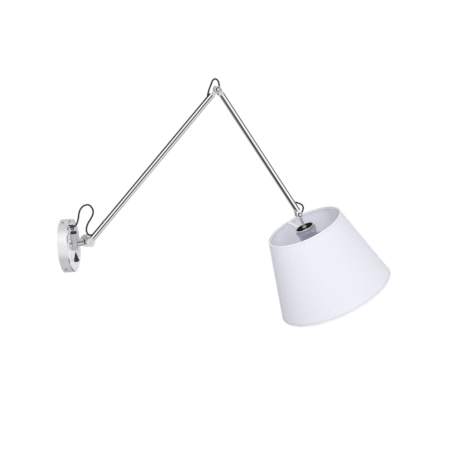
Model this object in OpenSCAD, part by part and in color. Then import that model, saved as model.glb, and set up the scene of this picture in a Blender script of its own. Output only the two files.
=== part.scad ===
// Swing arm wall sconce: a round wall cover with a hinge barrel, two tube arms and a tapered fabric shade.
// The wall plane is x = 0, +X points into the room and +Z is up. The origin is the middle of the wall plate's back.

/* [Wall cover] */
// Radius of the round wall cover
cover_r = 63; // [60:0.5:70]
// Depth of the wall cover, from the wall to its front edge
cover_depth = 25; // [24:0.5:27]
// Distance between the two wall screw slots
wall_screw_gap = 70; // [60:1:74]

/* [Hinge barrel] */
// Distance from the wall to the upright hinge pin
pivot_x = 27; // [26.5:0.5:30]
// Radius of the hinge barrel
barrel_r = 7.4; // [7:0.1:8]
// Swing of the arms from straight out of the wall, at rest
swing_deg = 30; // [-50:1:50]

/* [Arms] */
// Outer radius of the lower arm's tube
lower_r = 8; // [7.6:0.1:8.4]
// Outer radius of the upper arm's tube
upper_r = 7.4; // [7:0.1:8]
// Length of the lower arm between its pivots
lower_len = 480; // [400:5:560]
// Length of the upper arm between its pivots
upper_len = 387; // [300:1:460]
// Climb of the lower arm above level
lower_deg = 41.8; // [30:0.1:60]
// Fall of the upper arm below level
upper_deg = 60.5; // [40:0.5:70]
// Diameter of the flex
flex_d = 4.2; // [4:0.1:4.4]

/* [Shade] */
// Radius of the shade's top edge
shade_top_r = 98; // [90:1:110]
// Radius of the shade's bottom edge
shade_bottom_r = 150; // [130:1:170]
// Height of the shade along its axis
shade_h = 203; // [170:1:230]
// Lean of the shade's axis from upright
shade_deg = 21.5; // [10:0.5:30]

/* [Hidden] */
$fn = 96;

// A small overlap that makes cuts pass clean through
eps = 0.5;

// Wall plate and cover
plate_r = 52;
plate_t = 2;
sheet_t = 1.5;
rim_t = 3;
floor_front = 14;
floor_back = floor_front - sheet_t;
cover_hole_r = 11;
slot_r = 2.3;
slot_len = 12;
entry_z = -26;
entry_r = 4.5;
grommet_r = 8;
grommet_lip = 1.5;
tab_angles = [20, 140, 260];
tab_w = 12;
tab_out = 58;
tab_t = 2;
tab_screw_x = 10;
tab_hole_r = 1.6;
cover_screw_r = 1.5;
cover_head_r = 3;
cover_head_t = 1.2;

// Hinge barrel
hinge_z = 4.5;
knuckle_half = 9.3;
knuckle_gap = 0.3;
barrel_low = -11.2;
barrel_high = 27.8;
pin_r = 3;
pin_bore_r = 1.2;
pin_top = 32.4;
standoff_r = 10;
standoff_end = 14.2;
flange_r = 14;
flange_end = 17;
web_t = 8;
bracket_screw_y = 6.5;
bracket_screw_z = hinge_z;
fit_gap = 0.04;
bush_r = 4.4;
knob_low = 28.1;
knob_high = 34;
knob_r = 7.5;

// Pull switch and its bell
string_r = 0.6;
string_top = 20;
bell_top = -18.6;
bell_foot = -37.4;
bell_low = -40.5;
bell_r = 7;

// Flex exit and grip
exit_z = 51;
grip_x = 25.5;
grip_z = 43;
grip_cord_z = 45;
grip_screw_z = 40.6;
post_z = 41.5;

// Lower arm's tilt hinge
hinge_u = 32.5;
arm_offset = 15.5;
neck_r = 9;
neck_end = 21;
neck_washer_end = 24;
spigot_r = 4;
stud_r = 3;
tongue_r = 8.4;
tongue_half = 7;
tilt_bolt_r = 3;
knuckle_r = 10.5;
knuckle_w = 15;
tilt_knob_r = 15;
tilt_knob_in = 8.2;
tilt_hub_r = 8.2;
tilt_face = 9.4;
tilt_knob_out = 19;

// Tubes and the hinges at the elbow and the head
tube_wall = 1.2;
joint_w = 15;
tongue_t = 6;
eye_r = 5.8;
cheek_r = 8;
cheek_arm = 5.6;
cheek_in = 3.9;
joint_pin_r = 2.5;
joint_head_r = 5.6;
joint_head_t = 2.2;
washer_in = 3.05;
washer_out = 3.85;
lower_tube_start = 10.6;
lower_tube_end = lower_len - 20;
upper_tube_start = 17;
upper_tube_end = upper_len - 13;
tube_rise = 3;
plug_len = 15;
flex_slot_w = 5.4;
base_slot_from = 12.2;
knuckle_plug_end = 13.3;
base_slot_to = 62;
elbow_slot_from = 42;
elbow_slot_to = 24;
head_slot_from = 50;
head_slot_to = 18;

// Head
stem_r = 3.8;
stem_bore_r = 2.5;
window_from = 15;
window_len = 15;
stem_from = 5;
cup_from = 36.5;
cup_r = 24;
cup_len = 62;
cup_wall = 1;
holder_r = 20;
holder_from = 52;
socket_r = 13.3;
socket_depth = 26;
holder_to = cup_from + cup_len - 1;
ring_x = 38.4;
spider_from = 44;
spider_t = 2.5;
spider_hub_r = 26.6;
shade_from = 35;
shade_wall = 1.2;
wire_r = 1.6;
spoke_w = 5;
spoke_t = 1.6;
spoke_end = shade_top_r - shade_wall - 2 * wire_r - 0.02;
trim_h = 3;
trim_t = 0.5;

// Routes of the flex, as [out along the arms, across them, up] from the swing axis
base_route_a = [
    [-16.5, 9.5, 52], [-11.3, 6.5, 51], [-6, 3.5, 47.5], [-1.3, 0.8, 45], [2.9, -0.5, 45], [8.5, -1, 48.5],
    [12.5, -2, 56.5], [15, -3, 64.5], [17, -4, 73.5], [21, -5, 83], [28.5, -6.5, 90.5],
    [36, -7.7, 92.4], [38, -8, 92.4]
];
base_route_b = [
    [38.4, -8.05, 92.4], [40.4, -8.35, 92.3], [46, -9.5, 88], [50, -11, 78.5], [48, -12.5, 68],
    [41, -13.5, 58.5], [33.5, -14.5, 49.5],
    [28.5, -15.2, 40], [27.5, -15.5, 31], [30, -15.5, 24.5], [35, -15.5, 21.3], [41, -15.5, 21],
    [48, -15.5, 23.7], [56.5, -15.5, 28.1], [65.3, -15.5, 33.8]
];
elbow_route = [
    [360.5, -15.5, 297.8], [363, -15.5, 304], [364.5, -15.5, 311], [366.8, -15.5, 318.5], [370, -15.5, 326.5],
    [373.5, -15.5, 333], [377, -15.5, 339.3], [380.5, -15.5, 345.7], [387, -15.5, 350],
    [394, -15.5, 346], [397, -15.5, 337.8], [397, -15.5, 330], [400.3, -15.5, 323], [402.2, -15.5, 314.8],
    [404.5, -15.5, 306.6], [408.7, -15.5, 298.1]
];
head_route = [
    [555.9, -15.5, 37.8], [562.2, -15.5, 29.9], [568.4, -15.5, 23], [577, -15.5, 18.7], [585.8, -15.5, 14.5],
    [593.2, -14.5, 9.3], [596.4, -12.5, 1.5], [595.2, -9.5, -6], [593, -6.3, -12.8], [591.5, -5.5, -20],
    [588, -9, -27.9], [589.5, -13.7, -34.3], [591.5, -15.5, -39.4], [593, -15.5, -43.1]
];
flex_sides = 10;

function unit(v) = v / norm(v);
function ahead(p, i) = unit(p[min(i + 1, len(p) - 1)] - p[max(i - 1, 0)]);
function ring(p, i, r, n) =
    let (a = ahead(p, i), side = unit(cross(a, [0, 1, 0])), over = cross(side, a))
    [for (k = [0:n - 1]) p[i] + r * (cos(360 * k / n) * side + sin(360 * k / n) * over)];

// A tube without a bore along the points of a route
module flex(p, r, n) {
    last = (len(p) - 1) * n;
    points = [for (i = [0:len(p) - 1]) each ring(p, i, r, n)];
    walls = [
        for (i = [0:len(p) - 2], k = [0:n - 1])
            [i * n + k, i * n + (k + 1) % n, (i + 1) * n + (k + 1) % n, (i + 1) * n + k]
    ];
    ends = [[for (k = [n - 1:-1:0]) k], [for (k = [0:n - 1]) last + k]];
    polyhedron(points, concat(walls, ends), convexity = 6);
}

// Cylinders along X and along Y, from one coordinate to another
module along_x(from, to, r) {
    translate([from, 0, 0]) rotate([0, 90, 0]) cylinder(h = to - from, r = r);
}
module along_y(from, to, r) {
    translate([0, to, 0]) rotate([90, 0, 0]) cylinder(h = to - from, r = r);
}

// Frames: the swing axis, the pivots and the shade's axis
module swing_frame() {
    translate([pivot_x, 0, 0]) rotate([0, 0, swing_deg]) children();
}
module lower_frame() {
    swing_frame() translate([hinge_u, -arm_offset, hinge_z]) rotate([0, -lower_deg, 0]) children();
}
module upper_frame() {
    lower_frame() translate([lower_len, 0, 0]) rotate([0, lower_deg + upper_deg, 0]) children();
}
module head_frame() {
    upper_frame() translate([upper_len, 0, 0]) rotate([0, 90 - shade_deg - upper_deg, 0]) children();
}

// A pan-head screw along Z, its shank down and the underside of its head at z = 0
module pan_screw(shank_r, shank_len, head_r, head_t) {
    translate([0, 0, -shank_len]) cylinder(h = shank_len + eps / 2, r = shank_r);
    difference() {
        rotate_extrude() polygon([
            [0, 0], [head_r, 0], [head_r, head_t * 0.5], [head_r * 0.8, head_t * 0.9], [head_r * 0.5, head_t],
            [0, head_t]
        ]);
        translate([-head_r * 0.6, -head_r * 0.12, head_t * 0.45]) cube([head_r * 1.2, head_r * 0.24, head_t]);
        translate([-head_r * 0.12, -head_r * 0.6, head_t * 0.45]) cube([head_r * 0.24, head_r * 1.2, head_t]);
    }
}

// ---- Wall mount ----

module wall_slots() {
    for (y = [-1, 1] * wall_screw_gap / 2) translate([-eps, y, 0]) {
        reach = slot_len / 2 - slot_r;
        for (s = [-1, 1]) translate([0, s * reach, 0]) along_x(0, plate_t + 2 * eps, slot_r);
        translate([0, -reach, -slot_r]) cube([plate_t + 2 * eps, 2 * reach, 2 * slot_r]);
    }
}

module bracket_plate() color("gainsboro") difference() {
    union() {
        along_x(0, plate_t, plate_r);
        for (a = tab_angles) rotate([a, 0, 0]) {
            translate([0, -tab_w / 2, plate_r - 4]) cube([plate_t, tab_w, tab_out - plate_r + 4]);
            translate([0, -tab_w / 2, tab_out - tab_t]) cube([tab_screw_x + 2.2, tab_w, tab_t]);
        }
    }
    wall_slots();
    translate([-eps, 0, entry_z]) along_x(0, plate_t + 2 * eps, grommet_r - grommet_lip);
    for (a = tab_angles) rotate([a, 0, 0]) translate([tab_screw_x, 0, tab_out - 3])
        cylinder(h = 6, r = tab_hole_r);
    for (y = [-1, 1] * bracket_screw_y) translate([-eps, y, bracket_screw_z])
        along_x(0, plate_t + 2 * eps, 1.7);
}

module cable_grommet() color("dimgray") translate([0, 0, entry_z]) difference() {
    union() {
        along_x(0.2, plate_t, grommet_r - grommet_lip - 0.02);
        along_x(plate_t, plate_t + 2, grommet_r);
    }
    along_x(-eps, plate_t + 3, entry_r);
}

module cover() color("silver") difference() {
    rotate([0, 90, 0]) rotate_extrude() polygon([
        [0, floor_back], [cover_r - sheet_t, floor_back], [cover_r - sheet_t, 0.3], [cover_r, 0.3],
        [cover_r, cover_depth - 1], [cover_r - 0.4, cover_depth - 0.3], [cover_r - 1, cover_depth],
        [cover_r - 2, cover_depth], [cover_r - 2.6, cover_depth - 0.3], [cover_r - rim_t, cover_depth - 1],
        [cover_r - rim_t, floor_front + 2], [cover_r - rim_t - 0.6, floor_front + 0.6],
        [cover_r - rim_t - 2, floor_front], [0, floor_front]
    ]);
    translate([0, 0, hinge_z]) along_x(floor_back - eps, floor_front + eps, cover_hole_r);
    translate([0, 0, exit_z]) along_x(floor_back - eps, floor_front + eps, 3.4);
    translate([0, 0, post_z]) along_x(floor_back - eps, floor_front + eps, 1.6);
    for (a = tab_angles) rotate([a, 0, 0]) translate([tab_screw_x, 0, cover_r - 6]) cylinder(h = 9, r = 1.8);
}

module cover_screws() color("silver")
    for (a = tab_angles) rotate([a, 0, 0]) translate([tab_screw_x, 0, cover_r + 0.05])
        pan_screw(cover_screw_r, 8, cover_head_r, cover_head_t);

module standoff() color("gainsboro") translate([0, 0, hinge_z]) difference() {
    union() {
        along_x(plate_t, standoff_end, standoff_r);
        along_x(plate_t, plate_t + 2, standoff_r + 3);
    }
    for (y = [-1, 1] * bracket_screw_y) translate([0, y, 0]) along_x(0, standoff_end + eps, 1.7);
}

// A fixed knuckle of the barrel, with the web that ties it to the flange
module fixed_knuckle(low, high) {
    translate([pivot_x, 0, low]) cylinder(h = high - low, r = barrel_r);
    translate([flange_end - 1, -web_t / 2, low]) cube([pivot_x - flange_end + 1, web_t, high - low]);
}

module hinge_bracket() color("silver") difference() {
    union() {
        translate([0, 0, hinge_z]) along_x(standoff_end, flange_end, flange_r);
        translate([standoff_end, -web_t / 2, barrel_low]) cube([flange_end - standoff_end, web_t,
            barrel_high - barrel_low]);
        fixed_knuckle(hinge_z + knuckle_half, barrel_high);
        fixed_knuckle(barrel_low, hinge_z - knuckle_half);
    }
    translate([pivot_x, 0, barrel_low - eps]) cylinder(h = barrel_high - barrel_low + 2 * eps, r = pin_r + 0.02);
    for (y = [-1, 1] * bracket_screw_y) translate([0, y, bracket_screw_z])
        along_x(standoff_end - eps, flange_end + eps, 1.7);
    translate([floor_back, 0, string_top]) along_x(0, pivot_x - floor_back - pin_r + 1, 0.9);
}

module bracket_screws() color("gray")
    for (y = [-1, 1] * bracket_screw_y) translate([flange_end + 0.02, y, bracket_screw_z]) rotate([0, 90, 0])
        pan_screw(1.6, 13, 2.8, 1.2);

module pivot_pin() color("lightgray") translate([pivot_x, 0, 0]) difference() {
    translate([0, 0, barrel_low - 0.6]) cylinder(h = pin_top - barrel_low + 0.6, r = pin_r);
    translate([0, 0, barrel_low - 1]) cylinder(h = string_top + 1 - barrel_low + 1, r = pin_bore_r);
    translate([0, 0, string_top]) along_x(-pin_r - 1, 0, 0.9);
}

module terminal_block() color("whitesmoke") difference() {
    translate([plate_t, -15, -47]) cube([9, 30, 12]);
    for (y = [-10, 0, 10]) translate([plate_t + 4.5, y, -50]) cylinder(h = 20, r = 1.8);
    for (y = [-10, 0, 10], z = [-44, -38]) translate([plate_t + 5, y, z]) along_x(0, 6, 1.6);
}

module terminal_screws() color("gray")
    for (y = [-10, 0, 10], z = [-44, -38]) translate([plate_t + 6.6, y, z]) difference() {
        along_x(0, 2, 1.5);
        translate([1.3, -0.3, -2]) cube([1, 0.6, 4]);
    }

module pull_switch() color("whitesmoke") difference() {
    union() {
        translate([plate_t, 17, 12]) cube([9.5, 22, 17]);
        translate([plate_t, 20, 9]) cube([3, 16, 23]);
        translate([plate_t + 4.5, 12, string_top]) rotate([-90, 0, 0]) cylinder(h = 5.5, r = 3);
    }
    translate([plate_t + 4.5, 11, string_top]) rotate([-90, 0, 0]) cylinder(h = 5, r = 1);
    for (z = [10.6, 30.4]) translate([0, 28, z]) along_x(0, plate_t + 4, 1);
}

module exit_bush() color("black") translate([0, 0, exit_z]) difference() {
    union() {
        along_x(floor_back - 1.4, floor_front, 3.3);
        along_x(floor_front, floor_front + 1.6, 5);
    }
    along_x(0, floor_front + 3, 2.45);
}

module grip_post() color("silver") translate([0, 0, post_z]) {
    along_x(floor_back - 2, floor_front, 1.5);
    along_x(floor_front, grip_x - 4, 2.4);
}

module cord_grip() color("black") difference() {
    hull() for (z = [-1, 1] * 2.4) translate([grip_x, 0, grip_z + z]) {
        translate([0, 4, 0]) rotate([90, 0, 0]) cylinder(h = 8, r = 3.4, $fn = 32);
        translate([0, 3.4, 0]) rotate([90, 0, 0]) cylinder(h = 6.8, r = 4, $fn = 32);
    }
    translate([grip_x - 6, 0, grip_cord_z]) along_x(0, 12, 2.4);
    translate([grip_x, 0, grip_screw_z]) along_y(-5, 5, 1.25);
}

module grip_screw() color("silver") translate([grip_x, -4, grip_screw_z]) rotate([90, 0, 0])
    pan_screw(1.2, 7.6, 2.3, 1.2);

module base_cord_a() color("black") swing_frame() flex(base_route_a, flex_d / 2, flex_sides);

// ---- Knob on the pivot pin, and the pull ----

module pivot_knob() color("black") translate([pivot_x, 0, 0]) difference() {
    rotate_extrude() polygon([
        [0, knob_low], [knob_r - 0.6, knob_low], [knob_r, knob_low + 0.6], [knob_r, knob_high - 1.2],
        [knob_r - 0.4, knob_high - 0.4], [knob_r - 1.3, knob_high], [0, knob_high]
    ]);
    translate([0, 0, knob_low - eps]) cylinder(h = pin_top - knob_low + 2 * eps, r = pin_r + fit_gap);
    for (a = [0:30:330]) rotate([0, 0, a]) translate([knob_r + 0.7, 0, knob_low - eps]) cylinder(h = 8, r = 1);
}

module pull_string() color("gray") translate([pivot_x, 0, bell_top - 1])
    cylinder(h = string_top - bell_top + 0.4, r = string_r);

module pull_bell() color("black") translate([pivot_x, 0, 0]) rotate_extrude() polygon([
    [0, bell_low], [bell_r * 0.6, bell_low + 0.4], [bell_r * 0.9, bell_foot - 1.2], [bell_r, bell_foot],
    [bell_r - 0.3, bell_foot + 1], [bell_r * 0.6, bell_foot + 9], [bell_r * 0.26, bell_top - 1], [1.2, bell_top],
    [string_r + 0.02, bell_top], [string_r + 0.02, bell_top - 1.02], [0, bell_top - 1.02]
]);

// ---- Swing ----

module swing_knuckle() color("silver") swing_frame() translate([0, 0, hinge_z]) difference() {
    cylinder(h = 2 * (knuckle_half - knuckle_gap), r = barrel_r, center = true);
    cylinder(h = 4 * knuckle_half, r = bush_r, center = true);
    along_x(0, barrel_r + 1, spigot_r);
}

module swing_bushes() color("ivory") swing_frame() for (s = [-1, 1]) translate([0, 0, hinge_z])
    mirror([0, 0, s < 0 ? 1 : 0]) translate([0, 0, 3]) difference() {
        cylinder(h = knuckle_half - knuckle_gap - 3, r = bush_r - 0.02);
        translate([0, 0, -eps]) cylinder(h = knuckle_half, r = pin_r + fit_gap);
    }

module neck() color("silver") swing_frame() translate([0, 0, hinge_z]) {
    difference() {
        union() {
            along_x(barrel_r - 3, neck_end - 1, neck_r);
            along_x(neck_end - 2, neck_end, neck_r - 0.8);
        }
        cylinder(h = 2 * neck_r + 2, r = barrel_r + 0.02, center = true);
        along_x(neck_end - 7, neck_end + 1, stud_r + 0.02);
    }
    along_x(bush_r + 0.1, barrel_r + 1, spigot_r - 0.02);
}

module neck_washer() color("black") swing_frame() translate([0, 0, hinge_z]) difference() {
    along_x(neck_end, neck_washer_end, 6.4);
    along_x(neck_end - 1, neck_washer_end + 1, stud_r + 0.02);
}

module tilt_tongue() color("silver") swing_frame() translate([0, 0, hinge_z]) difference() {
    union() {
        translate([hinge_u, 0, 0]) along_y(-tongue_half, tongue_half, tongue_r);
        along_x(neck_end - 6, neck_washer_end + 1, stud_r);
        translate([neck_washer_end, -tongue_half, -6]) cube([hinge_u - neck_washer_end, 2 * tongue_half, 12]);
    }
    translate([hinge_u, 0, 0]) along_y(-tongue_half - 1, tongue_half + 1, tilt_bolt_r + fit_gap);
}

module tilt_washers() color("black") swing_frame() translate([hinge_u, 0, hinge_z])
    for (s = [-1, 1]) translate([0, s * (tongue_half + 0.45), 0]) difference() {
        along_y(-0.4, 0.4, 8);
        along_y(-1, 1, tilt_bolt_r + 0.3);
    }

module base_cord_b() color("black") swing_frame() flex(base_route_b, flex_d / 2, flex_sides);

module tilt_knob() color("silver") swing_frame() translate([hinge_u, 0, hinge_z]) difference() {
    rotate([-90, 0, 0]) rotate_extrude() polygon([
        [0, tilt_knob_in], [tilt_hub_r, tilt_knob_in], [tilt_hub_r, tilt_face],
        [tilt_knob_r - 0.8, tilt_face], [tilt_knob_r, tilt_face + 0.8], [tilt_knob_r, tilt_knob_out - 4], [tilt_knob_r - 0.8, tilt_knob_out - 2],
        [tilt_knob_r - 2.6, tilt_knob_out - 0.6], [tilt_knob_r - 5, tilt_knob_out], [0, tilt_knob_out]
    ]);
    along_y(tilt_knob_in - eps, tilt_knob_out - 3, tilt_bolt_r + fit_gap);
}

// ---- Lower arm ----

module lower_knuckle() color("silver") lower_frame() difference() {
    union() {
        along_y(-knuckle_w / 2, knuckle_w / 2, knuckle_r);
        along_x(0, lower_tube_start, lower_r - 0.01);
        along_x(lower_tube_start - eps, knuckle_plug_end, lower_r - tube_wall - 0.02);
    }
    along_y(-knuckle_w, knuckle_w, tilt_bolt_r + 0.02);
    along_y(-knuckle_w / 2 - 1, -knuckle_w / 2 + 2, 6.3);
    translate([-knuckle_r, knuckle_w / 2, -knuckle_r]) cube([knuckle_r + lower_tube_start, 2, 2 * knuckle_r]);
}

module tilt_bolt() color("gray") lower_frame() difference() {
    union() {
        along_y(-knuckle_w / 2, arm_offset + tilt_knob_out - 3.6, tilt_bolt_r);
        along_y(-knuckle_w / 2 + 0.1, -knuckle_w / 2 + 2, 6.25);
    }
    translate([0, -knuckle_w / 2 - 0.4, 0]) rotate([90, 0, 0]) translate([0, 0, -1.6])
        cylinder(h = 4, r = 2.3, $fn = 6);
}

// A tube along X with slots for the flex in its upper side, as [from, to] pairs
module arm_tube(from, to, r, slots) difference() {
    along_x(from, to, r);
    along_x(from - 1, to + 1, r - tube_wall);
    for (s = slots) {
        translate([s[0], -flex_slot_w / 2, 0]) cube([s[1] - s[0], flex_slot_w, r + 2]);
        for (x = s) translate([x, 0, 0]) cylinder(h = r + 2, r = flex_slot_w / 2);
    }
}

module lower_tube() color("silver") lower_frame()
    arm_tube(lower_tube_start, lower_tube_end, lower_r, [
        [base_slot_from + flex_slot_w / 2, base_slot_to],
        [lower_len - elbow_slot_from, lower_len - elbow_slot_to - flex_slot_w / 2]
    ]);

module entry_bush() color("gray") lower_frame() difference() {
    translate([base_slot_to - 5, -flex_slot_w / 2 + 0.1, 0]) cube([5, flex_slot_w - 0.2, lower_r + 0.6]);
    along_x(0, base_slot_to + 5, 3);
}

module lower_wire() color("black") lower_frame() along_x(45, lower_len - 41, flex_d / 2);

// The flat eye on the end of an arm or the stem, with a hole for the hinge pin
module hinge_eye() difference() {
    union() {
        along_y(-tongue_t / 2, tongue_t / 2, eye_r);
        translate([-19, -tongue_t / 2, -eye_r]) cube([19, tongue_t, eye_r + 2.5]);
    }
    along_y(-joint_w, joint_w, joint_pin_r + fit_gap);
}

module lower_elbow_end() color("silver") lower_frame() difference() {
    union() {
        translate([lower_len, 0, 0]) hinge_eye();
        along_x(lower_tube_end, lower_tube_end + 1.5, lower_r);
        along_x(lower_tube_end - 4, lower_tube_end + 0.5, lower_r - tube_wall - 0.02);
    }
    translate([lower_len, 0, 0]) along_y(-joint_w, joint_w, joint_pin_r + fit_gap);
}

module elbow_cord() color("black") swing_frame() flex(elbow_route, flex_d / 2, flex_sides);

// ---- Upper arm ----

// A fork whose two cheeks hold an eye at the origin, on a raised tube that starts at x = from
module fork(from, r) difference() {
    union() {
        for (s = [-1, 1]) translate([0, s * (cheek_in + joint_w / 2) / 2, 0]) {
            along_y(-(joint_w / 2 - cheek_in) / 2, (joint_w / 2 - cheek_in) / 2, cheek_r);
            translate([0, -(joint_w / 2 - cheek_in) / 2, tube_rise - upper_r])
                cube([from - 1.5, joint_w / 2 - cheek_in, upper_r - tube_rise + cheek_arm]);
        }
        translate([0, 0, tube_rise]) {
            along_x(from - 3, from, r);
            along_x(from - eps, from + plug_len, r - tube_wall - 0.02);
        }
    }
    translate([from - 4, -2.7, tube_rise - 2.5]) cube([plug_len + 5, 5.4, 12]);
    along_y(-joint_w, joint_w, joint_pin_r + 0.02);
}

// The hinge screw's head faces the room's front side, and its nut is on the far side
module hinge_screw() {
    translate([0, -joint_w / 2 - 0.02, 0]) rotate([90, 0, 0])
        pan_screw(joint_pin_r, joint_w + 2.6, joint_head_r, joint_head_t);
    difference() {
        translate([0, joint_w / 2 + 2.4, 0]) rotate([90, 0, 0]) cylinder(h = 2.38, r = 4.6, $fn = 6);
        along_y(0, joint_w, joint_pin_r);
    }
}

module hinge_washers() for (s = [-1, 1]) translate([0, s * (washer_in + washer_out) / 2, 0]) difference() {
    along_y(-(washer_out - washer_in) / 2, (washer_out - washer_in) / 2, 5.4);
    along_y(-1, 1, joint_pin_r + 0.2);
}

module upper_elbow_end() color("silver") upper_frame() fork(upper_tube_start, upper_r);
module elbow_screw() color("gray") upper_frame() hinge_screw();
module elbow_washers() color("black") upper_frame() hinge_washers();

module upper_tube() color("silver") upper_frame() translate([0, 0, tube_rise])
    arm_tube(upper_tube_start, upper_tube_end, upper_r, [
        [upper_len - head_slot_from, upper_len - head_slot_to - flex_slot_w / 2]
    ]);

module upper_wire() color("black") upper_frame() translate([0, 0, tube_rise])
    along_x(33.5, upper_len - 57, flex_d / 2);

// The head fork is the elbow fork turned end for end
module at_head_fork() {
    upper_frame() translate([upper_len, 0, 0]) mirror([1, 0, 0]) children();
}

module upper_head_end() color("silver") at_head_fork() difference() {
    fork(upper_len - upper_tube_end, upper_r);
    translate([upper_len - upper_tube_end + 4, -10, -10]) cube([20, 20, 20]);
}
module head_screw() color("gray") at_head_fork() hinge_screw();
module head_washers() color("black") at_head_fork() hinge_washers();
module head_cord() color("black") swing_frame() flex(head_route, flex_d / 2, flex_sides);

// ---- Head: the stem hangs along +X of the head frame ----

module head_stem() color("silver") head_frame() difference() {
    union() {
        along_y(-tongue_t / 2, tongue_t / 2, eye_r);
        translate([0, -tongue_t / 2, -3.4]) cube([stem_from + 5, tongue_t, 6.8]);
        along_x(stem_from + 4.6, cup_from + 8, stem_r);
    }
    along_y(-joint_w, joint_w, joint_pin_r + fit_gap);
    along_x(window_from, cup_from + 9, stem_bore_r);
    translate([window_from, 0, -flex_slot_w / 2]) cube([window_len, 6, flex_slot_w]);
}

module stem_nut() color("gray") head_frame() difference() {
    translate([cup_from + 2.2, 0, 0]) rotate([0, 90, 0]) cylinder(h = 4, r = 8, $fn = 6);
    along_x(cup_from, cup_from + 8, stem_r + 0.02);
}

module cup() color("silver") head_frame() rotate([0, 90, 0]) rotate_extrude() polygon([
    [cup_r - cup_wall, cup_from + 1.2], [cup_r, cup_from + 1.2], [cup_r, cup_from + cup_len - 0.6],
    [cup_r - 0.4, cup_from + cup_len], [cup_r - cup_wall, cup_from + cup_len]
]);

module cup_top() color("silver") head_frame() difference() {
    rotate([0, 90, 0]) rotate_extrude() polygon([
        [0, cup_from + 0.8], [cup_r - 2, cup_from + 0.8], [cup_r - 1.4, cup_from], [cup_r - 0.4, cup_from],
        [cup_r, cup_from + 0.5], [cup_r, cup_from + 1.18], [cup_r - cup_wall - 0.05, cup_from + 1.18],
        [cup_r - cup_wall - 0.05, cup_from + 3], [cup_r - cup_wall - 1, cup_from + 3],
        [cup_r - cup_wall - 1, cup_from + 2], [0, cup_from + 2]
    ]);
    along_x(cup_from - 1, cup_from + 4, stem_r + 0.02);
}

module holder_body() color("whitesmoke") head_frame() difference() {
    union() {
        along_x(holder_from, holder_to, holder_r);
        along_x(holder_to - 3, holder_to, cup_r - cup_wall - 0.1);
        along_x(cup_from + 9, holder_from + eps, 9);
    }
    along_x(holder_to - socket_depth, holder_to + 1, socket_r + 0.72);
    along_x(cup_from + 8.5, cup_from + 14, 2.6);
}

module holder_shell() color("goldenrod") head_frame() difference() {
    along_x(holder_to - socket_depth + 2, holder_to - 1.5, socket_r + 0.7);
    along_x(holder_to - socket_depth + 1, holder_to, socket_r);
}

module holder_contact() color("goldenrod") head_frame() {
    along_x(holder_to - socket_depth, holder_to - socket_depth + 1.6, 3.4);
    translate([holder_to - socket_depth, -2.4, 0]) cube([0.8, 4.8, 9]);
}

module head_wire() color("black") head_frame() along_x(34, cup_from + 13, flex_d / 2);

module shade_nut() color("silver") head_frame() difference() {
    along_x(spider_from + spider_t, spider_from + spider_t + 4, spider_hub_r - 1);
    along_x(spider_from, spider_from + 12, cup_r + 0.02);
    for (a = [0:30:330]) rotate([a, 0, 0]) translate([spider_from, 0, spider_hub_r - 0.3]) along_x(0, 12, 1.2);
}

module spider() color("white") head_frame() difference() {
    union() {
        along_x(spider_from, spider_from + spider_t, spider_hub_r);
        for (s = [-1, 1]) translate([0, 0, -spoke_w / 2]) linear_extrude(spoke_w) polygon([
            [spider_from, s * (spider_hub_r - 1)], [spider_from + spoke_t, s * (spider_hub_r - 1)],
            [ring_x + spoke_t / 2, s * spoke_end], [ring_x - spoke_t / 2, s * spoke_end]
        ]);
    }
    along_x(spider_from - 1, spider_from + spider_t + 1, cup_r + 0.02);
}

// A wire hoop inside the shade, its middle at x
module hoop(x, r) head_frame() rotate([0, 90, 0]) translate([0, 0, x])
    rotate_extrude() translate([r, 0]) circle(r = wire_r, $fn = 24);

module top_ring() color("white") hoop(ring_x, shade_top_r - shade_wall - wire_r);
module bottom_ring() color("white")
    hoop(shade_from + shade_h - wire_r - 0.4, shade_bottom_r - shade_wall - wire_r - 0.9);

// Outer radius of the shade at a distance x below the head hinge
function shade_r(x) = shade_top_r + (shade_bottom_r - shade_top_r) * (x - shade_from) / shade_h;

module shade_fabric() color("white") head_frame() rotate([0, 90, 0]) rotate_extrude() polygon([
    [shade_top_r - shade_wall, shade_from], [shade_top_r, shade_from],
    [shade_bottom_r, shade_from + shade_h], [shade_bottom_r - shade_wall, shade_from + shade_h]
]);

// A tape around the outside of the shade, from one distance below the hinge to another
module tape(from, to) head_frame() rotate([0, 90, 0]) rotate_extrude() polygon([
    [shade_r(from) + 0.02, from], [shade_r(from) + trim_t, from], [shade_r(to) + trim_t, to],
    [shade_r(to) + 0.02, to]
]);

module top_trim() color("white") tape(shade_from, shade_from + trim_h);
module bottom_trim() color("white") tape(shade_from + shade_h - trim_h, shade_from + shade_h);

bracket_plate();
cable_grommet();
cover();
cover_screws();
standoff();
hinge_bracket();
bracket_screws();
pivot_pin();
terminal_block();
terminal_screws();
pull_switch();
exit_bush();
grip_post();
cord_grip();
grip_screw();
base_cord_a();
pivot_knob();
pull_string();
pull_bell();
swing_knuckle();
swing_bushes();
neck();
neck_washer();
tilt_tongue();
tilt_washers();
base_cord_b();
tilt_knob();
lower_knuckle();
tilt_bolt();
lower_tube();
entry_bush();
lower_wire();
lower_elbow_end();
elbow_cord();
upper_elbow_end();
elbow_screw();
elbow_washers();
upper_tube();
upper_wire();
upper_head_end();
head_screw();
head_washers();
head_cord();
head_stem();
stem_nut();
cup();
cup_top();
holder_body();
holder_shell();
holder_contact();
head_wire();
shade_nut();
spider();
top_ring();
bottom_ring();
shade_fabric();
top_trim();
bottom_trim();
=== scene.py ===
"""Looks of a swing arm wall lamp: chrome barrel and tube arms, black flex loops and a white fabric shade."""

import math

import bpy
import numpy as np
from mathutils import Matrix, Vector


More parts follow.
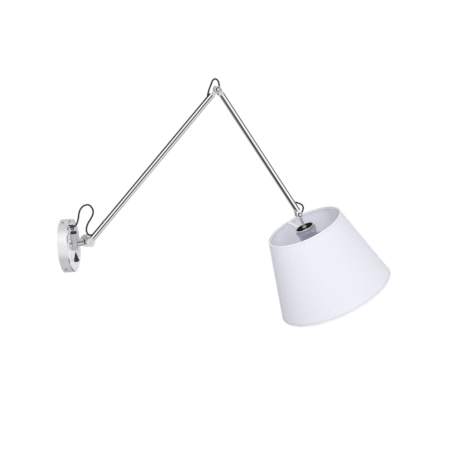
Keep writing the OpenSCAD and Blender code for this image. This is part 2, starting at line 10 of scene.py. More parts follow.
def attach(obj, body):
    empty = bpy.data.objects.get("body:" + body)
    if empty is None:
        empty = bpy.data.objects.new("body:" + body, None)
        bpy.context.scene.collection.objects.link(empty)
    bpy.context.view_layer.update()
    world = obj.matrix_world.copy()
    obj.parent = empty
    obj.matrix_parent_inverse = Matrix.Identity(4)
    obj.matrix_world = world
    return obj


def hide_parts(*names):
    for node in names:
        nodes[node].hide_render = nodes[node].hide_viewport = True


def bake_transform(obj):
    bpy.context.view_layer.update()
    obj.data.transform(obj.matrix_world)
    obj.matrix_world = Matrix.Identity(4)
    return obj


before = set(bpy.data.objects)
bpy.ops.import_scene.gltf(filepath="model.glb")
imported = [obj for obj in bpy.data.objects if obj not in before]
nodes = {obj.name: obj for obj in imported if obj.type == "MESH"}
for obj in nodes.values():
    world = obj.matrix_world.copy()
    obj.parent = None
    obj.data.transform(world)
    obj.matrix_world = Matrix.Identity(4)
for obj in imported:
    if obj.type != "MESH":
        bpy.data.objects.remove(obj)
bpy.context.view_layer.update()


# ---- Places in the record's frame ----

# Directions and points are in metres. What goes into swing_point is in millimetres.
SWING = math.radians(30)
PIVOT = Vector((0.027, 0, 0))
OUT = Vector((math.cos(SWING), math.sin(SWING), 0))
ACROSS = Vector((-math.sin(SWING), math.cos(SWING), 0))
UP = Vector((0, 0, 1))
HINGE_OUT, ARM_SIDE, HINGE_UP = 32.5, -15.5, 4.5
LOWER, LOWER_LEN = math.radians(41.8), 0.480
UPPER, UPPER_LEN = math.radians(60.5), 0.387
LEAN = math.radians(21.5)


def swing_point(u, t, z):
    """A point out along the arms, across them and up from the swing axis, given in millimetres."""
    return PIVOT + (OUT * u + ACROSS * t + UP * z) / 1000


LOWER_DIR = OUT * math.cos(LOWER) + UP * math.sin(LOWER)
UPPER_DIR = OUT * math.cos(UPPER) - UP * math.sin(UPPER)
SHADE_DIR = OUT * math.sin(LEAN) - UP * math.cos(LEAN)
KNUCKLE = swing_point(HINGE_OUT, ARM_SIDE, HINGE_UP)
ELBOW = KNUCKLE + LOWER_DIR * LOWER_LEN
HEAD = ELBOW + UPPER_DIR * UPPER_LEN


def frame_at(origin, along):
    """A frame with +Z along a direction and +Y across the arms."""
    side = ACROSS.cross(along).normalized()
    m = Matrix((side, ACROSS, along)).transposed().to_4x4()
    m.translation = origin
    return m


# ---- Camera ----

TURN, RISE, ROLL = math.radians(7.744), math.radians(10.633), math.radians(5.151)
TARGET = Vector((0.38965, 0, 0.0226))
DISTANCE = 3.2285
LENS, SENSOR = 110.68, 36


def make_camera():
    back = Vector((math.sin(TURN) * math.cos(RISE), -math.cos(TURN) * math.cos(RISE), math.sin(RISE)))
    level = Vector((math.cos(TURN), math.sin(TURN), 0))
    over = back.cross(level)
    right = level * math.cos(ROLL) - over * math.sin(ROLL)
    top = level * math.sin(ROLL) + over * math.cos(ROLL)
    data = bpy.data.cameras.new("camera")
    data.lens, data.sensor_width = LENS, SENSOR
    data.clip_start, data.clip_end = 0.1, 30
    cam = bpy.data.objects.new("camera", data)
    bpy.context.scene.collection.objects.link(cam)
    m = Matrix((right, top, back)).transposed().to_4x4()
    m.translation = TARGET + back * DISTANCE
    cam.matrix_world = m
    bpy.context.scene.camera = cam


make_camera()


# ---- Mesh helpers ----


def angles_round(sides):
    return np.linspace(0, 2 * math.pi, sides, endpoint=False)


def mesh_object(name, points, faces, uvs, smooth=True):
    me = bpy.data.meshes.new(name)
    me.from_pydata([tuple(p) for p in points], [], faces)
    layer = me.uv_layers.new(name="UVMap")
    for poly in me.polygons:
        for k, loop in enumerate(poly.loop_indices):
            layer.data[loop].uv = uvs[poly.index][k]
    me.validate()
    me.update()
    me.polygons.foreach_set("use_smooth", [smooth] * len(me.polygons))
    o = bpy.data.objects.new(name, me)
    bpy.context.scene.collection.objects.link(o)
    return o


def ring_faces(rings, sides, u_size, v_step, closed=False):
    """Faces between rings of points, and their UVs in metres: u goes round a ring, v from ring to ring."""
    faces, uvs = [], []
    for j in range(rings if closed else rings - 1):
        here, there = j * sides, (j + 1) % rings * sides
        v0, v1 = v_step * j, v_step * (j + 1)
        for i in range(sides):
            k = (i + 1) % sides
            faces.append((here + i, here + k, there + k, there + i))
            u0, u1 = u_size * i / sides, u_size * (i + 1) / sides
            uvs.append(((u0, v0), (u1, v0), (u1, v1), (u0, v1)))
    return faces, uvs


def ring_object(name, rings, place, u_size, v_step, closed=False, smooth=True):
    """A mesh from rings of points, given in the frame place."""
    faces, uvs = ring_faces(len(rings), len(rings[0]), u_size, v_step, closed)
    o = mesh_object(name, [p for ring in rings for p in ring], faces, uvs, smooth)
    o.data.transform(place)
    return o


def smooth_route(points, step=0.0012, fine=16):
    """A rounded line through the points, in even steps."""
    p = [np.array(q, float) for q in points]
    p = [2 * p[0] - p[1], *p, 2 * p[-1] - p[-2]]
    line = []
    for a, b, c, d in zip(p[:-3], p[1:-2], p[2:-1], p[3:]):
        t0 = 0.0
        t1 = t0 + np.linalg.norm(b - a) ** 0.5
        t2 = t1 + np.linalg.norm(c - b) ** 0.5
        t3 = t2 + np.linalg.norm(d - c) ** 0.5
        for t in np.linspace(t1, t2, fine, endpoint=False):
            a1 = (t1 - t) / (t1 - t0) * a + (t - t0) / (t1 - t0) * b
            a2 = (t2 - t) / (t2 - t1) * b + (t - t1) / (t2 - t1) * c
            a3 = (t3 - t) / (t3 - t2) * c + (t - t2) / (t3 - t2) * d
            b1 = (t2 - t) / (t2 - t0) * a1 + (t - t0) / (t2 - t0) * a2
            b2 = (t3 - t) / (t3 - t1) * a2 + (t - t1) / (t3 - t1) * a3
            line.append((t2 - t) / (t2 - t1) * b1 + (t - t1) / (t2 - t1) * b2)
    line.append(p[-2])
    line = np.array(line)
    run = np.concatenate([[0], np.cumsum(np.linalg.norm(np.diff(line, axis=0), axis=1))])
    at = np.linspace(0, run[-1], int(round(run[-1] / step)) + 1)
    return np.column_stack([np.interp(at, run, line[:, k]) for k in range(3)])


TUBE_SIDES = 20
END_SHARE = 0.9
FIRST_SIDE = [0.3, 0.9, 0.1]


def tube(name, line, radius):
    """A closed tube round a line, a little narrower at its two ends."""
    ahead = np.gradient(line, axis=0)
    ahead /= np.linalg.norm(ahead, axis=1)[:, None]
    side = np.cross(ahead[0], FIRST_SIDE)
    angles = angles_round(TUBE_SIDES)
    last = len(line) - 1
    points = []
    for k, p in enumerate(line):
        side = side - ahead[k] * np.dot(side, ahead[k])
        side /= np.linalg.norm(side)
        over = np.cross(ahead[k], side)
        r = radius * (END_SHARE if k in (0, last) else 1.0)
        points += [p + r * (math.cos(a) * side + math.sin(a) * over) for a in angles]
    length = float(np.linalg.norm(np.diff(line, axis=0), axis=1).sum())
    faces, uvs = ring_faces(len(line), TUBE_SIDES, 2 * math.pi * radius, length / last)
    disc = [(radius * math.cos(a), radius * math.sin(a)) for a in angles]
    faces += [tuple(range(TUBE_SIDES))[::-1], tuple(last * TUBE_SIDES + i for i in range(TUBE_SIDES))]
    uvs += [disc, disc]
    return mesh_object(name, points, faces, uvs)


# ---- Flex loops ----

# Routes are points for swing_point.
FLEX = 0.0042
BASE_A = [
    (-16.5, 9.5, 52), (-11.3, 6.5, 51), (-6, 3.5, 47.5), (-1.3, 0.8, 45), (2.9, -0.5, 45), (8.5, -1, 48.5),
    (12.5, -2, 56.5), (15, -3, 64.5), (17, -4, 73.5), (21, -5, 83), (28.5, -6.5, 90.5), (36, -7.7, 92.4),
    (38, -8, 92.4),
]
BASE_B = [
    (38, -8, 92.4), (40.4, -8.35, 92.3), (46, -9.5, 88), (50, -11, 78.5), (48, -12.5, 68),
    (41, -13.5, 58.5), (33.5, -14.5, 49.5), (28.5, -15.2, 40), (27.5, -15.5, 31), (30, -15.5, 24.5),
    (35, -15.5, 21.3), (41, -15.5, 21), (48, -15.5, 23.7), (56.5, -15.5, 28.1), (65.3, -15.5, 33.8),
]
ELBOW_LOOP = [
    (360.5, -15.5, 297.8), (363, -15.5, 304), (364.5, -15.5, 311), (366.8, -15.5, 318.5),
    (370, -15.5, 326.5), (373.5, -15.5, 333), (377, -15.5, 339.3), (380.5, -15.5, 345.7),
    (387, -15.5, 350), (394, -15.5, 346), (397, -15.5, 337.8), (397, -15.5, 330), (400.3, -15.5, 323),
    (402.2, -15.5, 314.8), (404.5, -15.5, 306.6), (408.7, -15.5, 298.1),
]
HEAD_LOOP = [
    (555.9, -15.5, 37.8), (562.2, -15.5, 29.9), (568.4, -15.5, 23), (577, -15.5, 18.7), (585.8, -15.5, 14.5),
    (593.2, -14.5, 9.3), (596.4, -12.5, 1.5), (595.2, -9.5, -6), (593, -6.3, -12.8), (591.5, -5.5, -20),
    (588, -9, -27.9), (589.5, -13.7, -34.3), (591.5, -15.5, -39.4), (593, -15.5, -43.1),
]


def flex(name, node, route):
    """One loop of the flex, a tube between the two bodies of the joint that it crosses."""
    line = smooth_route([swing_point(*p) for p in route])
    o = tube(name, line, FLEX / 2)
    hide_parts(node)
    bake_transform(o)
    return o


cords = [
    flex("flex_base_wall", "base_cord_a", BASE_A),
    flex("flex_base_arm", "base_cord_b", BASE_B),
    flex("flex_elbow", "elbow_cord", ELBOW_LOOP),
    flex("flex_head", "head_cord", HEAD_LOOP),
]


# ---- Materials ----

NOISE_ROUGHNESS = 0.55
WAVE_PERIOD = math.pi / 10


def scaled(color, factor):
    """A darker or lighter colour, at most white."""
    return tuple(min(1, c * factor) for c in color)


class Look:
    """A material's nodes, built one at a time."""

    def __init__(self, name, color, metallic, roughness):
        self.material = bpy.data.materials.new(name)
        self.material.use_nodes = True
        self.tree = self.material.node_tree
        self.shader = self.tree.nodes["Principled BSDF"]
        self.shader.inputs["Base Color"].default_value = (*color, 1)
        self.shader.inputs["Metallic"].default_value = metallic
        self.shader.inputs["Roughness"].default_value = roughness
        self.material.diffuse_color = (*color, 1)
        self.normal = None

    def node(self, kind):
        return self.tree.nodes.new(kind)

    def link(self, a, b):
        self.tree.links.new(a, b)

    def coords(self, scale, uv=False):
        """Coordinates in metres times a scale, from the mesh itself or from its UV map."""
        source = self.node("ShaderNodeUVMap") if uv else self.node("ShaderNodeTexCoord")
        mapping = self.node("ShaderNodeMapping")
        mapping.inputs["Scale"].default_value = scale if hasattr(scale, "__len__") else (scale,) * 3
        self.link(source.outputs["UV" if uv else "Object"], mapping.inputs["Vector"])
        return mapping.outputs["Vector"]

    def xyz(self):
        """A surface point's X, Y and Z in the record's frame, in metres."""
        parts = self.node("ShaderNodeSeparateXYZ")
        self.link(self.coords(1.0), parts.inputs[0])
        return parts.outputs

    def noise(self, scale, detail=3.0, uv=False):
        n = self.node("ShaderNodeTexNoise")
        n.inputs["Scale"].default_value = 1.0
        n.inputs["Detail"].default_value = detail
        n.inputs["Roughness"].default_value = NOISE_ROUGHNESS
        self.link(self.coords(scale, uv), n.inputs["Vector"])
        return n.outputs["Fac"]

    def wave(self, scale, direction):
        """Even bands across the UV map's X or Y."""
        n = self.node("ShaderNodeTexWave")
        n.wave_type, n.bands_direction, n.wave_profile = "BANDS", direction, "SIN"
        n.inputs["Scale"].default_value = 1.0
        self.link(self.coords(scale, uv=True), n.inputs["Vector"])
        return n.outputs["Fac"]

    def spread(self, value, low, high, start=0.3, end=0.7):
        """A value mapped from start..end to low..high."""
        n = self.node("ShaderNodeMapRange")
        n.inputs["From Min"].default_value, n.inputs["From Max"].default_value = start, end
        n.inputs["To Min"].default_value, n.inputs["To Max"].default_value = low, high
        self.link(value, n.inputs["Value"])
        return n.outputs["Result"]

    def math(self, operation, a, b):
        n = self.node("ShaderNodeMath")
        n.operation = operation
        for k, v in enumerate((a, b)):
            if isinstance(v, (int, float)):
                n.inputs[k].default_value = v
            else:
                self.link(v, n.inputs[k])
        return n.outputs[0]

    def vector(self, operation, a, b=None):
        """A vector operation on a socket and, where it takes two, a fixed vector."""
        n = self.node("ShaderNodeVectorMath")
        n.operation = operation
        self.link(a, n.inputs[0])
        if b is not None:
            n.inputs[1].default_value = b
        return n

    def from_axis(self, centre, axis):
        """Distance of a surface point from an axis, in metres."""
        offset = self.vector("SUBTRACT", self.coords(1.0), centre)
        cross = self.vector("CROSS_PRODUCT", offset.outputs[0], axis)
        return self.vector("LENGTH", cross.outputs[0]).outputs["Value"]

    def tint(self, value, dark, light):
        """Base colour between two colours by a value."""
        n = self.node("ShaderNodeMix")
        n.data_type = "RGBA"
        n.inputs[6].default_value, n.inputs[7].default_value = (*dark, 1), (*light, 1)
        self.link(value, n.inputs[0])
        self.link(n.outputs[2], self.shader.inputs["Base Color"])

    def rough(self, value):
        self.link(value, self.shader.inputs["Roughness"])

    def bump(self, value, distance, strength):
        """Relief from a value, on top of any relief given before."""
        n = self.node("ShaderNodeBump")
        n.inputs["Distance"].default_value = distance
        n.inputs["Strength"].default_value = strength
        self.link(value, n.inputs["Height"])
        if self.normal is not None:
            self.link(self.normal, n.inputs["Normal"])
        self.normal = n.outputs["Normal"]
        self.link(self.normal, self.shader.inputs["Normal"])


def chrome(name, low, high, color=(0.86, 0.865, 0.875)):
    """Bright plating: faint smears in its gloss, a soft orange peel and hairline wipes."""
    k = Look(name, color, 1.0, low)
    k.rough(k.spread(k.noise(38, 4), low, high))
    k.bump(k.noise(420, 2), 0.000003, 0.25)
    k.bump(k.noise((60, 1300, 60), 2), 0.000001, 0.08)
    k.tint(k.noise(16, 2), scaled(color, 0.94), scaled(color, 1.04))
    return k.material


def brushed(name, color, rough, scale):
    """Bare metal with fine scratches, whose scale says which way they run."""
    k = Look(name, color, 1.0, rough)
    k.rough(k.spread(k.noise(scale, 4), rough - 0.08, rough + 0.12))
    k.bump(k.noise(scale, 3), 0.00002, 0.5)
    k.tint(k.noise(70, 4), scaled(color, 0.86), scaled(color, 1.06))
    return k.material


def plastic(name, color, rough, grain=1400, depth=0.00003, worn=1.25):
    """Grained plastic, rubber or lining, a little paler where it is worn."""
    k = Look(name, color, 0.0, rough)
    k.rough(k.spread(k.noise(90, 4), rough - 0.06, rough + 0.1))
    k.bump(k.noise(grain, 3), depth, 0.6)
    k.tint(k.noise(45, 4), color, scaled(color, worn))
    return k.material


def flex_look():
    k = Look("flex_pvc", (0.014, 0.014, 0.015), 0.0, 0.36)
    k.rough(k.spread(k.noise(160, 4), 0.28, 0.46))
    k.bump(k.noise((500, 60, 500), 3, uv=True), 0.00006, 0.5)
    k.tint(k.noise(120, 3), (0.010, 0.010, 0.011), (0.022, 0.022, 0.024))
    return k.material


def cloth(name, color, pitch, slub, sheen=0.25, depth=0.00012):
    """Plain-weave cloth: crossed threads of a given pitch, thick and thin threads, and a soft sheen."""
    k = Look(name, color, 0.0, 0.86)
    k.shader.inputs["Sheen Weight"].default_value = sheen
    k.shader.inputs["Sheen Roughness"].default_value = 0.5
    turns = WAVE_PERIOD / pitch
    weave = k.math("MAXIMUM", k.wave((turns, turns, 0), "X"), k.wave((turns, turns, 0), "Y"))
    along, across = 1 / slub, 12 / slub
    thick_warp = k.noise((across, along, 0), 3, uv=True)
    thick_weft = k.noise((along, across, 0), 3, uv=True)
    threads = k.math("ADD", thick_warp, thick_weft)
    k.bump(weave, depth, 0.7)
    k.bump(threads, depth * 1.6, 0.5)
    k.tint(k.spread(threads, 0, 1, 0.75, 1.25), scaled(color, 0.955), scaled(color, 1.02))
    return k.material


def lacquer(name, color, rough):
    """Enamel or glaze under a thin clear coat."""
    k = Look(name, color, 0.0, rough)
    k.shader.inputs["Coat Weight"].default_value = 0.4
    k.shader.inputs["Coat Roughness"].default_value = 0.15
    k.rough(k.spread(k.noise(60, 3), rough - 0.05, rough + 0.08))
    k.bump(k.noise(420, 3), 0.00002, 0.4)
    k.tint(k.noise(30, 3), scaled(color, 0.95), color)
    return k.material


# Where a look changes on its part: the two ends of the change, in metres.
# RIM_INSIDE: the edge between the cover's face and rim; the face inside it is painted paler as painted
# light.
RIM_INSIDE = 0.0602, 0.0612
# COVER_FRONT: the cover's front lip, which carries a painted shadow.
COVER_FRONT = 0.0230, 0.0238
FLANGE_FACE = 0.0173, 0.0190
# HUB_END: where the carrier's painted shade on hub and near arm gives way to its white far arm.
HUB_END = 0.024, 0.028
# LID_EDGE: where the lid's painted reflection gives way to the painted highlight on its edge.
LID_EDGE = 0.0218, 0.0228
# HEAD_GROOVE: the screw head's turned ring, cut as relief and painted as painted shade.
HEAD_GROOVE = 0.0034, 0.0042
BLACK_TO_WHITE = (0, 0, 0), (1, 1, 1)


def cover_chrome():
    """Satin plating; painted light makes the dished face paler than the rim, and a painted shadow darkens
    the rim's front lip.
    """
    k = Look("chrome_satin", (0.84, 0.845, 0.855), 1.0, 0.4)
    k.bump(k.noise(420, 2), 0.000003, 0.25)
    x, y, z = k.xyz()
    reach = k.math("SQRT", k.math("ADD", k.math("POWER", y, 2), k.math("POWER", z, 2)), 0)
    rim = k.spread(reach, 0, 1, *RIM_INSIDE)
    front = k.math("MULTIPLY", rim, k.spread(x, 0, 1, *COVER_FRONT))
    k.rough(k.math("MULTIPLY", k.spread(k.noise(38, 4), 0.92, 1.12), k.spread(rim, 0.45, 0.38, 0, 1)))
    k.link(k.spread(rim, 0.45, 0.48, 0, 1), k.shader.inputs["Metallic"])
    smear = k.spread(k.noise(16, 2), 0.96, 1.0)
    # Painted light: the face inside the rim gets a paler tone than the rim's outside, on top of faint random
    # smears.
    smear_and_painted_light = k.math("MULTIPLY", smear, k.spread(rim, 0.98, 0.86, 0, 1))
    # Painted shadow: the rim's front lip is darkened in broken patches, standing in for the shade in the gap
    # at the face's edge.
    patches = k.spread(k.noise(45, 2), 1.0, 0.1, 0.45, 0.58)
    painted_shadow_lip = k.spread(k.math("MULTIPLY", front, patches), 1.0, 0.2, 0, 1)
    k.tint(k.math("MULTIPLY", smear_and_painted_light, painted_shadow_lip), *BLACK_TO_WHITE)
    return k.material


def satin_steel(name, color, metallic, rough):
    """A soft-sheened plating that shows the room only as broad tones."""
    k = Look(name, color, metallic, rough)
    k.rough(k.spread(k.noise(60, 4), rough - 0.05, rough + 0.06))
    k.bump(k.noise((60, 60, 900), 2), 0.000004, 0.3)
    k.tint(k.noise(30, 3), scaled(color, 0.94), scaled(color, 1.03))
    return k.material


def barrel_steel():
    """The barrel's grey satin, paler where its flange lies on the cover."""
    k = Look("barrel_satin", (0.46, 0.46, 0.465), 0.75, 0.42)
    k.bump(k.noise((60, 60, 900), 2), 0.000004, 0.3)
    lift = k.spread(k.xyz()[0], 0, 1, *FLANGE_FACE)
    k.rough(k.math("MULTIPLY", k.spread(k.noise(60, 4), 0.92, 1.1), k.spread(lift, 0.40, 0.42, 0, 1)))
    k.link(k.spread(lift, 0.6, 0.7, 0, 1), k.shader.inputs["Metallic"])
    smear = k.spread(k.noise(30, 3), 0.93, 1.0)
    k.tint(k.math("MULTIPLY", smear, k.spread(lift, 0.96, 0.62, 0, 1)), *BLACK_TO_WHITE)
    return k.material


def carrier_enamel_and_painted_shade():
    """White enamel on the carrier's far arm; its hub and near arm are painted the dim grey of the shade's
    inside as painted shade.
    """
    k = Look("carrier_enamel_and_painted_shade", (0.9, 0.9, 0.9), 0.0, 0.35)
    k.rough(k.spread(k.noise(60, 3), 0.3, 0.42))
    k.bump(k.noise(420, 3), 0.00002, 0.4)
    offset = k.vector("SUBTRACT", k.coords(1.0), HEAD)
    far = k.vector("DOT_PRODUCT", offset.outputs[0], ACROSS)
    # Painted shade: the hub and near arm get the grey of the shade's shaded inside, and the far arm stays
    # white.
    k.tint(k.spread(far.outputs["Value"], 0, 1, *HUB_END), (0.40, 0.40, 0.44), (0.97, 0.97, 0.97))
    return k.material


def cup_lid():
    """Chrome lid of the cup, painted near black as a painted reflection of the dark room, with a painted
    highlight on its turned edge.
    """
    k = Look("cup_lid", (0.14, 0.14, 0.145), 1.0, 0.12)
    edge = k.spread(k.from_axis(HEAD, SHADE_DIR), 0, 1, *LID_EDGE)
    k.rough(k.math("MULTIPLY", k.spread(k.noise(60, 3), 0.85, 1.2), k.spread(edge, 0.12, 0.3, 0, 1)))
    k.bump(k.noise(420, 2), 0.000003, 0.25)
    k.link(k.spread(edge, 1.0, 0.3, 0, 1), k.shader.inputs["Metallic"])
    # Painted highlight: the turned edge is painted white in broken patches; the rest of the lid's near black
    # is a painted reflection.
    painted_edge_highlight = k.math("MULTIPLY", edge, k.spread(k.noise(55, 2), 0.55, 1.0, 0.42, 0.52))
    k.tint(painted_edge_highlight, (0.12, 0.12, 0.125), (0.97, 0.97, 0.97))
    return k.material


def screw_head(name, centre):
    """A hinge screw's head: a bright middle, with a turned ring cut round it and painted near black as
    painted shade.
    """
    k = Look(name, (0.8, 0.8, 0.81), 0.7, 0.3)
    k.rough(k.spread(k.noise(160, 3), 0.24, 0.36))
    groove_and_painted_shade = k.spread(k.from_axis(centre, ACROSS), 0, 1, *HEAD_GROOVE)
    k.bump(groove_and_painted_shade, 0.0002, 0.5)
    # Painted shade: the turned ring and the head's edge beyond it are painted near black.
    k.tint(groove_and_painted_shade, (0.88, 0.88, 0.87), (0.06, 0.06, 0.06))
    return k.material


SATIN = cover_chrome()
BRIGHT = chrome("chrome_bright", 0.035, 0.10)
SOFT = chrome("chrome_soft", 0.14, 0.24, (0.82, 0.825, 0.835))
BARREL = barrel_steel()
CUP_LID = cup_lid()
# Painted reflection: the cup's chrome is darker and more lavender than the other chrome, standing in for the
# shade's lining mirrored in it.
CUP_PAINTED_REFLECTION = chrome("cup_chrome_painted_reflection", 0.07, 0.14, (0.60, 0.60, 0.66))
PALE = satin_steel("pale_satin", (0.80, 0.805, 0.81), 0.55, 0.34)
HINGE = satin_steel("hinge_satin", (0.58, 0.585, 0.59), 0.6, 0.30)
ELBOW_HEAD = screw_head("elbow_screw_head", ELBOW)
TILT_HEAD = screw_head("head_screw_head", HEAD)
ZINC = brushed("zinc_plate", (0.62, 0.63, 0.64), 0.34, (90, 90, 1500))
SCREW = brushed("screw_steel", (0.58, 0.585, 0.59), 0.26, (1200, 1200, 120))
BLACK = plastic("black_plastic", (0.016, 0.016, 0.017), 0.34)
FLEX_PVC = flex_look()
NYLON = plastic("nylon", (0.82, 0.80, 0.73), 0.42, worn=1.04)
GREY_RUBBER = plastic("grey_rubber", (0.30, 0.30, 0.31), 0.62, 900, 0.00005, 1.15)
WHITE_PLASTIC = plastic("white_plastic", (0.84, 0.84, 0.82), 0.32, worn=1.04)
GLAZE = lacquer("white_glaze", (0.88, 0.87, 0.84), 0.22)
BRASS = brushed("brass", (0.74, 0.55, 0.24), 0.22, (160, 160, 1300))
CARRIER = carrier_enamel_and_painted_shade()
ENAMEL = lacquer("white_enamel", (0.86, 0.86, 0.87), 0.3)
FABRIC = cloth("shade_weave", (0.86, 0.86, 0.885), 0.0007, 0.012)
LINING = plastic("shade_lining", (0.87, 0.87, 0.905), 0.6, 700, 0.00004, 1.03)
TAPE = cloth("edge_tape", (0.93, 0.93, 0.95), 0.0005, 0.006, 0.3, 0.0001)
STRING = cloth("string_twist", (0.22, 0.22, 0.23), 0.0004, 0.004)

LOOKS = [
    (SATIN, ["cover"]),
    (BARREL, ["hinge_bracket", "swing_knuckle"]),
    (PALE, ["tilt_knob", "lower_elbow_end", "upper_elbow_end"]),
    (HINGE, ["tilt_tongue", "lower_knuckle", "tilt_bolt"]),
    (SOFT, ["neck", "grip_post", "head_stem", "upper_head_end"]),
    (CUP_PAINTED_REFLECTION, ["cup", "shade_nut"]),
    (BRIGHT, ["lower_tube", "upper_tube"]),
    (CUP_LID, ["cup_top"]),
    (ELBOW_HEAD, ["elbow_screw"]),
    (TILT_HEAD, ["head_screw"]),
    (ZINC, ["bracket_plate", "standoff", "pivot_pin"]),
    (SCREW, ["cover_screws", "bracket_screws", "terminal_screws", "grip_screw", "stem_nut"]),
    (BLACK, ["pivot_knob", "pull_bell", "cord_grip", "exit_bush", "neck_washer", "tilt_washers",
             "elbow_washers", "head_washers"]),
    (FLEX_PVC, ["lower_wire", "upper_wire", "head_wire"]),
    (NYLON, ["swing_bushes"]),
    (GREY_RUBBER, ["cable_grommet", "entry_bush"]),
    (WHITE_PLASTIC, ["terminal_block", "pull_switch"]),
    (GLAZE, ["holder_body"]),
    (BRASS, ["holder_shell", "holder_contact"]),
    (CARRIER, ["spider"]),
    (ENAMEL, ["top_ring", "bottom_ring"]),
    (STRING, ["pull_string"]),
]


def put(o, *looks):
    o.data.materials.clear()
    for m in looks:
        o.data.materials.append(m)


for look, members in LOOKS:
    for n in members:
        put(nodes[n], look)
for o in cords:
    put(o, FLEX_PVC)


# ---- Shade ----

# Rings are given in SHADE_FRAME, whose Z is the distance below the head's hinge.
SHADE_FRAME = frame_at(HEAD, SHADE_DIR)
TOP_AT, TALL, TOP_R, FOOT_R = 0.035, 0.203, 0.098, 0.150
CLOTH_T = 0.0012
CLOTH_EDGE = 0.0004
CLOTH_SLACK = 0.00022
SIDES, STEPS = 240, 28
TAPE_OUT, TAPE_IN, TAPE_T = 0.0030, 0.0025, 0.0005
LAP_AT, LAP_HALF = math.radians(20), 0.005
LAP_EDGE, LAP_STEPS = 0.0036, 12


def shade_radius(d):
    return TOP_R + (FOOT_R - TOP_R) * (d - TOP_AT) / TALL


def turned(profile, sides):
    """Rings round the shade's axis from pairs of distance below the hinge and radius."""
    angles = angles_round(sides)
    return [[(r * math.cos(a), r * math.sin(a), d) for a in angles] for d, r in profile]


def cloth_ring(k, inside):
    """One ring of the cloth's outer or inner face, with the cloth's slight slack between its edges."""
    down = k / STEPS
    d = TOP_AT + CLOTH_EDGE + (TALL - 2 * CLOTH_EDGE) * down
    ring = []
    for a in angles_round(SIDES):
        ripple = math.sin(3 * a + 1.1) * math.sin(2 * a + 0.3 * down)
        slack = CLOTH_SLACK * math.sin(math.pi * down) * ripple
        r = shade_radius(d) - (CLOTH_T if inside else 0.0) + slack
        ring.append((r * math.cos(a), r * math.sin(a), d))
    return ring


def shade_cloth():
    """The cloth cone with a fabric face outside and a plain lining inside."""
    slant = math.hypot(TALL, FOOT_R - TOP_R)
    rings = [cloth_ring(k, False) for k in range(STEPS + 1)]
    rings += [cloth_ring(k, True) for k in range(STEPS, -1, -1)]
    o = ring_object("shade_cloth", rings, SHADE_FRAME, u_size=math.pi * (TOP_R + FOOT_R),
                    v_step=2 * slant / len(rings), closed=True)
    put(o, FABRIC, LINING)
    for p in o.data.polygons:
        p.material_index = 1 if STEPS < p.index // SIDES <= 2 * STEPS else 0
    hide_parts("shade_fabric")
    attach(o, "head")
    return o


def rim_tape(name, at, up, node):
    """A tape folded over one edge of the shade, a little narrower inside than outside."""
    s = 1 if up else -1
    t = TAPE_T
    profile = []
    for d, off in [
        (TAPE_OUT, 0.00002), (TAPE_OUT, t), (TAPE_OUT * 0.5, t * 1.15), (0.0010, t), (0.0001, t * 0.6),
        (-0.0003, -0.0002), (-0.0003, -CLOTH_T + 0.0002), (0.0001, -CLOTH_T - t * 0.6),
        (0.0010, -CLOTH_T - t), (TAPE_IN, -CLOTH_T - t), (TAPE_IN, -CLOTH_T - 0.00002),
        (0.0008, -CLOTH_T + 0.0001), (0.0008, -0.0001),
    ]:
        dd = at + s * d
        profile.append((dd, shade_radius(dd) + off))
    if not up:
        profile = profile[::-1]
    o = ring_object(name, turned(profile, SIDES), SHADE_FRAME, u_size=2 * math.pi * shade_radius(at),
                    v_step=0.03 / len(profile), closed=True)
    put(o, TAPE)
    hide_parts(node)
    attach(o, "head")
    return o


def seam():
    """The lap where the cloth's ends meet."""
    section = [(-1, 0.00005), (-0.96, 0.0004), (0, 0.00045), (0.96, 0.0004), (1, 0.00005), (0, -0.0002)]
    rings = []
    for k in range(LAP_STEPS + 1):
        d = TOP_AT + LAP_EDGE + (TALL - 2 * LAP_EDGE) * k / LAP_STEPS
        r = shade_radius(d)
        ring = []
        for share, off in section:
            a = LAP_AT + share * LAP_HALF / r
            ring.append(((r + off) * math.cos(a), (r + off) * math.sin(a), d))
        rings.append(ring)
    o = ring_object("shade_seam", rings, SHADE_FRAME, u_size=0.02, v_step=0.19 / len(rings))
    put(o, FABRIC)
    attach(o, "head")
    return o


def stem_locknut():
    """The hexagonal nut that holds the stem on the cup's top, with a chamfered upper edge."""
    profile = [(0.03649, 0.0040), (0.03649, 0.0056), (0.0346, 0.0056), (0.0341, 0.0050), (0.0340, 0.0040)]
    o = ring_object("stem_locknut", turned(profile, 6), SHADE_FRAME, u_size=0.046, v_step=0.002, closed=True,
                    smooth=False)
    put(o, PALE)
    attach(o, "head")


stem_locknut()
shade = shade_cloth()
tapes = [
    rim_tape("top_edge_tape", TOP_AT, True, "top_trim"),
    rim_tape("foot_edge_tape", TOP_AT + TALL, False, "bottom_trim"),
]
lap = seam()


# ---- Light and surroundings ----


def lobe(tree, vector, direction, radius, soft):
    """1 inside a cone round a direction, falling to 0 over a soft edge, both in degrees."""
    dot = tree.nodes.new("ShaderNodeVectorMath")
    dot.operation = "DOT_PRODUCT"
    dot.inputs[1].default_value = Vector(direction).normalized()
    tree.links.new(vector, dot.inputs[0])
    ramp = tree.nodes.new("ShaderNodeMapRange")
    ramp.interpolation_type = "SMOOTHSTEP"
    ramp.inputs["From Min"].default_value = math.cos(math.radians(radius + soft))
    ramp.inputs["From Max"].default_value = math.cos(math.radians(radius - soft))
    tree.links.new(dot.outputs["Value"], ramp.inputs["Value"])
    return ramp.outputs["Result"]


ROOM = 0.46
FILL = 0.57
WALL_LIGHT_AT = (0.20, -0.12, -0.03)

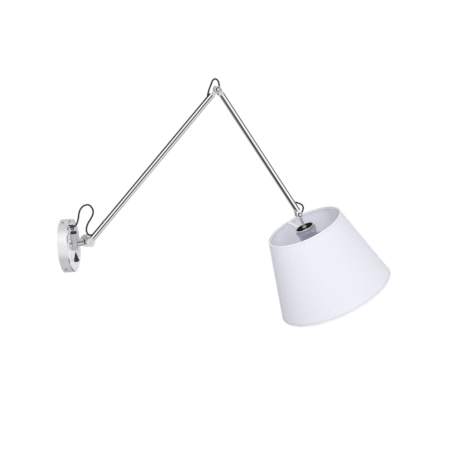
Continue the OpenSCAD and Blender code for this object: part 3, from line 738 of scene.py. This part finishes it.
# What gloss sees: a direction, the patch's radius and soft edge in degrees, and its strength. Later ones
# cover earlier ones.
LOBES = [
    ((-0.10, -0.55, 0.83), 30, 9, 1.1),
    ((-0.13, 0.33, 0.94), 22, 12, 0.75),
    ((-0.13, -0.97, -0.19), 26, 12, 0.80),
    ((-0.60, 0.10, 0.79), 31, 6, 0.03),
    ((0.82, 0.03, -0.57), 24, 10, 0.62),
    ((0.60, 0.49, -0.63), 22, 10, 0.62),
    ((0.26, 0.83, -0.49), 20, 8, 1.0),
    ((-0.40, 0.83, 0.38), 11, 5, 0.03),
    ((0.95, 0.28, 0.15), 20, 9, 0.05),
    ((0.55, -0.78, 0.12), 25, 5, 0.02),
    ((0.55, -0.76, -0.36), 10, 4, 1.1),
    ((0.777, -0.60, -0.185), 11, 4, 1.1),
    ((0.93, -0.35, -0.04), 12, 4, 1.1),
    ((0.10, -0.80, -0.59), 11, 5, 0.04),
    ((-0.20, -0.66, -0.72), 9, 5, 0.04),
    ((-0.48, -0.42, -0.77), 14, 6, 0.04),
    ((0.13, 0.97, -0.16), 32, 6, 1.15),
]


def make_world():
    """White paper for the eye, soft boxes and black cards for gloss, and an even fill for the rest."""
    world = bpy.data.worlds.new("studio")
    bpy.context.scene.world = world
    world.use_nodes = True
    t = world.node_tree
    t.nodes.clear()

    def background(color, strength):
        n = t.nodes.new("ShaderNodeBackground")
        n.inputs["Color"].default_value = (*color, 1)
        n.inputs["Strength"].default_value = strength
        return n

    coord = t.nodes.new("ShaderNodeTexCoord")
    vector = t.nodes.new("ShaderNodeVectorMath")
    vector.operation = "NORMALIZE"
    t.links.new(coord.outputs["Generated"], vector.inputs[0])
    value = None
    for direction, radius, soft, level in LOBES:
        mix = t.nodes.new("ShaderNodeMix")
        mix.inputs["A"].default_value = ROOM
        if value is not None:
            t.links.new(value, mix.inputs["A"])
        mix.inputs["B"].default_value = level
        t.links.new(lobe(t, vector.outputs[0], direction, radius, soft), mix.inputs["Factor"])
        value = mix.outputs["Result"]
    gloss = background((0.985, 0.985, 1.0), 1.0)
    t.links.new(value, gloss.inputs["Strength"])
    fill = background((0.90, 0.915, 1.0), FILL)
    paper = background((1, 1, 1), 1.0)
    ray = t.nodes.new("ShaderNodeLightPath")
    inner, outer = t.nodes.new("ShaderNodeMixShader"), t.nodes.new("ShaderNodeMixShader")
    out = t.nodes.new("ShaderNodeOutputWorld")
    t.links.new(ray.outputs["Is Glossy Ray"], inner.inputs[0])
    t.links.new(fill.outputs[0], inner.inputs[1])
    t.links.new(gloss.outputs[0], inner.inputs[2])
    t.links.new(ray.outputs["Is Camera Ray"], outer.inputs[0])
    t.links.new(inner.outputs[0], outer.inputs[1])
    t.links.new(paper.outputs[0], outer.inputs[2])
    t.links.new(outer.outputs[0], out.inputs["Surface"])


def soft_light(name, direction, energy, spread):
    """A broad light from one side that stays out of the reflections."""
    data = bpy.data.lights.new(name, "SUN")
    data.energy = energy
    data.angle = math.radians(spread)
    data.color = (1, 1, 0.985)
    o = bpy.data.objects.new(name, data)
    o.matrix_world = Vector(direction).to_track_quat("Z", "Y").to_matrix().to_4x4()
    o.visible_glossy = False
    bpy.context.scene.collection.objects.link(o)


def wall_light():
    """A small lamp in front of the wall cover that lifts its dished face."""
    data = bpy.data.lights.new("wall_fill", "POINT")
    data.energy = 1.0
    data.shadow_soft_size = 0.06
    o = bpy.data.objects.new("wall_fill", data)
    o.location = WALL_LIGHT_AT
    o.visible_glossy = False
    o.visible_camera = False
    bpy.context.scene.collection.objects.link(o)


soft_light("key", (0.14, -0.88, 0.46), 1.6, 50)
soft_light("top", (0.10, 0.10, 0.99), 0.6, 40)
wall_light()
make_world()
bpy.context.scene.view_settings.view_transform = "Standard"
